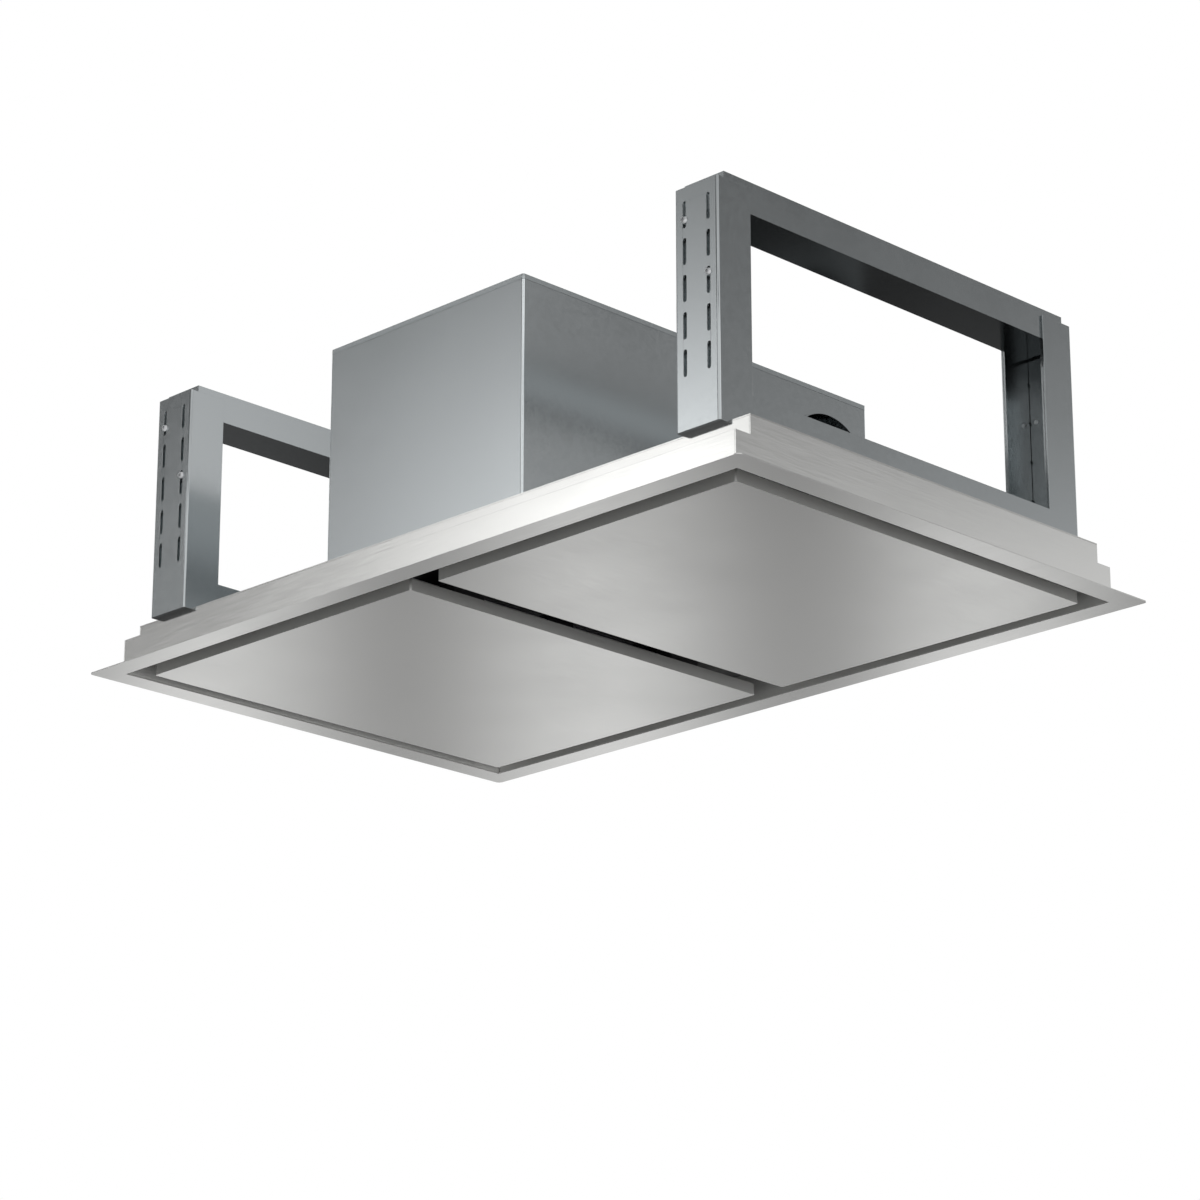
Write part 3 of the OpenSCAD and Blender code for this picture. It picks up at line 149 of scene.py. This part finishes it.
def brushed(name, colour, rough, grain, side_rough=None, inner_rough=None):
    """Brushed sheet: fine streaks along the grain, and a soft cloudiness.
    side_rough is for the upright sides of a pan, which are bent after brushing,
    and inner_rough for the faces that look in to the hood's middle."""
    material, tree, shader, place, normal = new_material(name, 1.0)
    density = [STREAKS_ACROSS] * 3
    density["XYZ".index(grain)] = STREAKS_ALONG
    streaks = tree.noise(tree.vector("MULTIPLY", place, density)[0], 1.0, 3.0, 0.6)
    clouds = tree.noise(place, 6.0)
    sheen = tree.mix(tree.ramp(streaks, 0.3, 0.7), tone(colour, 0.975), tone(colour, 1.02))
    both = tree.plus(tree.times(streaks, 0.6), tree.times(clouds, 0.4))
    level = tree.ramp(both, 0.3, 0.7, rough - ROUGH_SPREAD, rough + ROUGH_SPREAD)
    if inner_rough:
        outward = tree.vector("DOT_PRODUCT", normal, place)["Value"]
        inward = tree.ramp(outward, -0.1, -0.2)
        level = tree.plus(level, tree.times(inward, inner_rough - rough))
    if side_rough:
        side = tree.ramp(tree.math("ABSOLUTE", tree.split(normal)["Z"]), 0.7, 0.3)
        level = tree.plus(level, tree.times(side, side_rough - rough))
        sheen = tree.mix(side, sheen, tone(colour, PAN_SIDE_TONE))
    tree.put(shader["Base Color"], sheen)
    tree.put(shader["Roughness"], level)
    shader["Anisotropic"].default_value = 0.0 if side_rough else GRAIN_PULL
    return material


CRYSTALS = 260.0                # per metre
UNDERSIDE_SHADE_TONE = 0.18           # painted shade: the colour's factor on the faces that look down
UNDERSIDE_SHADE_SHEEN = (0.60, 0.60, 0.60, 1.0)
FULL_SHEEN = (1.0, 1.0, 1.0, 1.0)


def galvanised(name, colour, rough, bend=None):
    """Smooth galvanised sheet: faint crystal patches and rolling marks, and
    painted shade, a darker colour, on the faces that look down. bend is the
    brightness of a painted highlight on the upright bends."""
    material, tree, shader, place, normal = new_material(name, 1.0)
    cells = tree.add("ShaderNodeTexVoronoi")
    tree.put(cells.inputs["Vector"], place)
    cells.inputs["Scale"].default_value = CRYSTALS
    patch = tree.add("ShaderNodeSeparateColor")
    tree.put(patch.inputs[0], cells.outputs["Color"])
    clouds = tree.noise(place, 9.0, 3.0)
    grain = tree.plus(tree.times(patch.outputs[0], 0.25), tree.times(clouds, 0.75))
    coat = tree.mix(grain, tone(colour, 0.98), tone(colour, 1.02))
    facing = tree.split(normal)
    # painted highlight: the upright bends get a brighter colour
    if bend:
        across = [tree.math("ABSOLUTE", facing[axis]) for axis in "XY"]
        bent = tree.ramp(tree.math("MINIMUM", *across), 0.1, 0.25)
        coat = tree.mix(bent, coat, tone(colour, bend))
    # painted shade: the faces that look down get a darker colour and a dimmer reflection tint
    underside_shade = tree.ramp(facing["Z"], -0.4, -0.8)
    tree.put(shader["Base Color"], tree.mix(underside_shade, coat, tone(colour, UNDERSIDE_SHADE_TONE)))
    tree.put(shader["Specular Tint"], tree.mix(underside_shade, FULL_SHEEN, UNDERSIDE_SHADE_SHEEN))
    tree.put(shader["Roughness"], tree.ramp(grain, 0.25, 0.75, rough - 0.015, rough + 0.015))
    return material


SPECKS = 0.03                   # how far a plain surface's tone strays
BUMP_HEIGHT = 0.0001


def plain(name, colour, rough, metal, grain_size, strength):
    """Moulded, painted, plated or cast surface with a fine texture."""
    material, tree, shader, place, _ = new_material(name, metal)
    fine = tree.noise(place, grain_size)
    wide = tree.noise(place, 18.0)
    tree.put(shader["Base Color"], tree.mix(wide, tone(colour, 1 - SPECKS), tone(colour, 1 + SPECKS)))
    tree.put(shader["Roughness"], tree.ramp(wide, 0.3, 0.7, rough - 0.04, rough + 0.04))
    tree.put(shader["Normal"], tree.bump(fine, strength, BUMP_HEIGHT))
    return material


STEEL = (0.70, 0.70, 0.685)
STEEL_CROSS = (0.84, 0.84, 0.825)
STEEL_PANEL = (0.67, 0.67, 0.655)
ZINC = (0.475, 0.502, 0.512)
ZINC_HOUSING = (0.462, 0.488, 0.498)
ZINC_LID = (0.46, 0.49, 0.50)
materials = {
    # colour, roughness, and then the grain's axis
    "stainless": brushed("stainless_long", STEEL, 0.15, "X", inner_rough=0.62),
    "stainless_cross": brushed("stainless_cross", STEEL_CROSS, 0.15, "Y", inner_rough=0.62),
    "panel_stainless": brushed("panel_stainless", STEEL_PANEL, 0.16, "Y", side_rough=0.6),
    "filter_aluminium": brushed("filter_aluminium", (0.72, 0.73, 0.74), 0.34, "Y"),
    "capacitor_can": brushed("capacitor_can", (0.68, 0.69, 0.70), 0.30, "X"),
    "galvanised": galvanised("galvanised", ZINC, 0.165),
    "galvanised_housing": galvanised("galvanised_housing", ZINC_HOUSING, 0.185, bend=2.0),
    "galvanised_lid": galvanised("galvanised_lid", ZINC_LID, 0.22),
    # colour, roughness, metal, grains per metre, and the bump's strength
    "zinc_plate": plain("zinc_plate", (0.56, 0.57, 0.58), 0.30, 1.0, 600.0, 0.04),
    "black_enamel": plain("black_enamel", (0.022, 0.022, 0.024), 0.42, 0.0, 500.0, 0.15),
    "motor_enamel": plain("motor_enamel", (0.10, 0.105, 0.11), 0.38, 0.0, 500.0, 0.15),
    "black_plastic": plain("black_plastic", (0.028, 0.028, 0.030), 0.48, 0.0, 1400.0, 0.2),
    "grey_plastic": plain("grey_plastic", (0.26, 0.27, 0.28), 0.46, 0.0, 1400.0, 0.2),
    "black_rubber": plain("black_rubber", (0.02, 0.02, 0.02), 0.7, 0.0, 1100.0, 0.25),
}
OWN_LOOK = {                    # nodes that don't wear their slot's material
    "left_end_wall": "stainless_cross",
    "right_end_wall": "stainless_cross",
    "housing_end_panels": "galvanised_housing",
    "left_housing_side": "galvanised_housing",
    "right_housing_side": "galvanised_housing",
}
slots = {p["node"]: p["material_slot"] for p in frame["record"]["subparts"]}
for name, obj in nodes.items():
    material = materials[OWN_LOOK.get(name, slots[name])]
    if not obj.data.materials:
        obj.data.materials.append(material)
    for index in range(len(obj.data.materials)):
        obj.data.materials[index] = material


# --------------------------------------------------------------- softened edges
SOFTENED = ("trim_flange", "front_wall", "rear_wall", "left_end_wall", "right_end_wall",
            "left_panel_skin", "right_panel_skin", "housing_lid",
            "left_lower_bracket", "right_lower_bracket")
EDGE_WIDTH = 0.00025
WELD_DISTANCE = 0.00001
SHARP = math.radians(40)


def soften(obj):
    """Rounds a CAD node's sharp edges a little, as bent and cut sheet has them."""
    weld = obj.modifiers.new("weld", "WELD")
    weld.merge_threshold = WELD_DISTANCE
    bevel = obj.modifiers.new("bevel", "BEVEL")
    bevel.width = EDGE_WIDTH
    bevel.segments = 2
    bevel.limit_method = "ANGLE"
    bevel.angle_limit = SHARP
    bevel.harden_normals = True


for name in SOFTENED:
    soften(nodes[name])


# --------------------------------------------------- fine layers of the filters
PITCH = 0.006                   # between the bends of a strand, and between strands
STRAND_WIDTH = 0.0007
STRAND_THICKNESS = 0.00022
REST_GAP = 0.00003              # above the coarse mesh
BEND_GAP = 0.00002              # between two strands at their bends
LATCH_DEPTH = 0.034             # how far a latch reaches in from the inner edge
LATCH_HALF_WIDTH = 0.018


def make_weave(side):
    """Fine expanded mesh that lies on a filter's coarse one: strands that run
    along X, bend to and fro, and meet their neighbours at the bends."""
    low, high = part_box(side + "_filter_mesh")
    steps = int((high[0] - low[0]) / PITCH)
    rows = int((high[1] - low[1]) / PITCH)
    swing = (PITCH - STRAND_WIDTH) / 2 - BEND_GAP
    centre_x = (low[0] + high[0]) / 2
    centre_y = (low[1] + high[1]) / 2
    bottom = high[2] + REST_GAP
    shape = bmesh.new()

    def strand(start, end, row):
        """One strand from one of its bends to another, as a closed strip."""
        middle = centre_y + (row - (rows - 1) / 2) * PITCH
        rings = []
        for step in range(start, end + 1):
            x = centre_x + (step - steps / 2) * PITCH
            y = middle + swing * (-1) ** (step + row)
            rings.append([
                shape.verts.new((x, y + across * STRAND_WIDTH / 2, bottom + up * STRAND_THICKNESS))
                for across, up in ((-1, 0), (1, 0), (1, 1), (-1, 1))
            ])
        for a, b in zip(rings, rings[1:]):
            for i in range(4):
                shape.faces.new((a[i], a[(i + 1) % 4], b[(i + 1) % 4], b[i]))
        shape.faces.new(rings[0][::-1])
        shape.faces.new(rings[-1])

    latch_steps = math.ceil(LATCH_DEPTH / PITCH)
    beside_latch = (latch_steps, steps) if side == "right" else (0, steps - latch_steps)
    for row in range(rows):
        at_latch = abs(row - (rows - 1) / 2) * PITCH < LATCH_HALF_WIDTH
        strand(*(beside_latch if at_latch else (0, steps)), row)
    bmesh.ops.recalc_face_normals(shape, faces=shape.faces)
    mesh = bpy.data.meshes.new(side + "_filter_weave")
    shape.to_mesh(mesh)
    shape.free()
    weave = bpy.data.objects.new(side + "_filter_weave", mesh)
    bpy.context.collection.objects.link(weave)
    mesh.materials.append(materials["filter_aluminium"])
    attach(weave, "hood")


for side in ("left", "right"):
    make_weave(side)


# ------------------------------------------------------- world, lamp and camera
FRONT_LEFT, BACK_RIGHT, FAR_LEFT, FRONT_RIGHT = -135.0, 45.0, 135.0, -47.0     # azimuths
BAND_PERIOD = 6.1               # degrees from one upright band to the next
DARK_STRIP = 0.10


def make_world():
    """White to the camera. To all other rays a white room with soft cards in
    it, which give the metal the greys of the photograph. All angles are in
    degrees: the azimuth from +X to +Y, and the rise above the horizon."""
    world = bpy.data.worlds.new("studio")
    bpy.context.scene.world = world
    world.use_nodes = True
    tree = Tree(world.node_tree)
    x, y, z = tree.split(tree.add("ShaderNodeTexCoord").outputs["Generated"])
    azimuth = tree.times(tree.math("ARCTAN2", y, x), 180 / math.pi)
    rise = tree.times(tree.math("ARCSINE", z), 180 / math.pi)
    ray = tree.add("ShaderNodeLightPath").outputs
    unseen = tree.math("SUBTRACT", 1.0, ray["Is Camera Ray"])

    def window(centre, inner, outer):
        """1 near an azimuth and 0 far from it, and the degrees off it."""
        wrap = tree.add("ShaderNodeMath", operation="WRAP")
        tree.put(wrap.inputs[0], tree.math("SUBTRACT", azimuth, centre))
        wrap.inputs[1].default_value = 180.0
        wrap.inputs[2].default_value = -180.0
        off = wrap.outputs[0]
        return tree.ramp(tree.math("ABSOLUTE", off), inner, outer, 1.0, 0.0), off

    def between(weight, bottom, top):
        """The same window, open only between two rises, each a pair of angles."""
        return tree.times(tree.times(weight, tree.ramp(rise, *top)), tree.ramp(rise, *bottom))

    def hang(weight, card):
        """The room's light with a card hung before it."""
        return tree.blend(tree.times(weight, unseen), light, card)

    # the room lights the hood softly, and the metal shows it as white
    mirrored = tree.math("MAXIMUM", ray["Is Glossy Ray"], ray["Is Transmission Ray"])
    white = tree.math("MAXIMUM", ray["Is Camera Ray"], mirrored)
    soft = tree.ramp(rise, -60.0, 75.0, 0.45, 0.95)
    light = tree.blend(white, soft, tree.ramp(rise, 8.0, 60.0, 1.0, 0.55))
    light = tree.blend(ray["Is Camera Ray"], light, 1.0)

    # front left: a large card that is bright low down, for the long wall
    weight, off = window(FRONT_LEFT, 24.0, 48.0)
    sideways = tree.times(tree.ramp(off, -6.0, 3.2, 0.40, 2.15), tree.ramp(off, 3.8, 6.0, 1.0, 0.10))
    card = tree.times(sideways, tree.ramp(rise, 25.6, 17.6, 0.14, 0.95))
    dim = tree.times(tree.ramp(off, -4.8, -6.6, 0.0, 0.52), tree.ramp(rise, 17.8, 19.0))
    glow = tree.times(tree.ramp(off, -1.6, 0.2, 0.0, 0.60), tree.ramp(rise, 20.9, 20.1))
    glow = tree.plus(glow, tree.ramp(off, -1.0, 1.0, 1.0, 1.16))
    card = tree.times(card, tree.math("SUBTRACT", glow, dim))
    card = tree.times(card, tree.ramp(rise, 12.0, 2.0, 1.0, 0.5))
    light = hang(between(weight, (-28.0, -10.0), (62.0, 34.0)), card)

    # back right: a grey card that darkens upward, for the end wall and the housing
    weight, off = window(BACK_RIGHT, 24.0, 48.0)
    slant = tree.plus(rise, tree.times(off, -0.12))
    card = tree.plus(tree.ramp(slant, 25.0, 20.0, 0.15, 0.31, kind="LINEAR"),
                     tree.ramp(slant, 20.3, 17.5, 0.0, 0.36))
    card = tree.plus(card, tree.ramp(off, -2.0, -5.0, 0.0, 0.58))
    light = hang(between(weight, (-28.0, -10.0), (62.0, 34.0)), card)

    # far left and low: upright bands, for the panels and the flange
    weight, off = window(FAR_LEFT, 20.0, 40.0)
    wave = tree.math("COSINE", tree.times(off, 2 * math.pi / BAND_PERIOD))
    card = tree.plus(tree.times(wave, 0.29), 0.66)
    card = tree.times(card, tree.ramp(rise, -22.4, -20.6, 0.02, 1.0))
    light = hang(between(weight, (-50.0, -34.0), (5.0, -6.0)), card)

    # front right: a dark strip, for the insides of the legs
    weight, _ = window(FRONT_RIGHT, 9.0, 20.0)
    light = hang(between(weight, (16.5, 18.5), (26.5, 24.0)), DARK_STRIP)

    grey = tree.add("ShaderNodeCombineColor")
    for socket in grey.inputs[:3]:
        tree.put(socket, light)
    background = tree.add("ShaderNodeBackground")
    tree.put(background.inputs[0], grey.outputs[0])
    tree.put(tree.add("ShaderNodeOutputWorld").inputs[0], background.outputs[0])


def make_lamp():
    data = bpy.data.lights.new("overhead", "AREA")
    data.shape = "RECTANGLE"
    data.size, data.size_y = 2.4, 1.8
    data.energy = 8.0
    lamp = bpy.data.objects.new("overhead", data)
    lamp.location = (0.3, -0.4, 2.3)
    bpy.context.collection.objects.link(lamp)


def make_camera():
    """The photograph's camera, solved from 40 of its edges and corners."""
    data = bpy.data.cameras.new("camera")
    data.sensor_width = 36.0
    data.sensor_fit = "HORIZONTAL"
    data.lens = 116.515
    camera = bpy.data.objects.new("camera", data)
    camera.location = (2.57184, -2.57780, -1.17325)
    camera.rotation_euler = (math.radians(108.456), 0.0, math.radians(44.987))
    bpy.context.collection.objects.link(camera)
    bpy.context.scene.camera = camera


make_world()
make_lamp()
make_camera()
bpy.context.scene.view_settings.view_transform = "Standard"
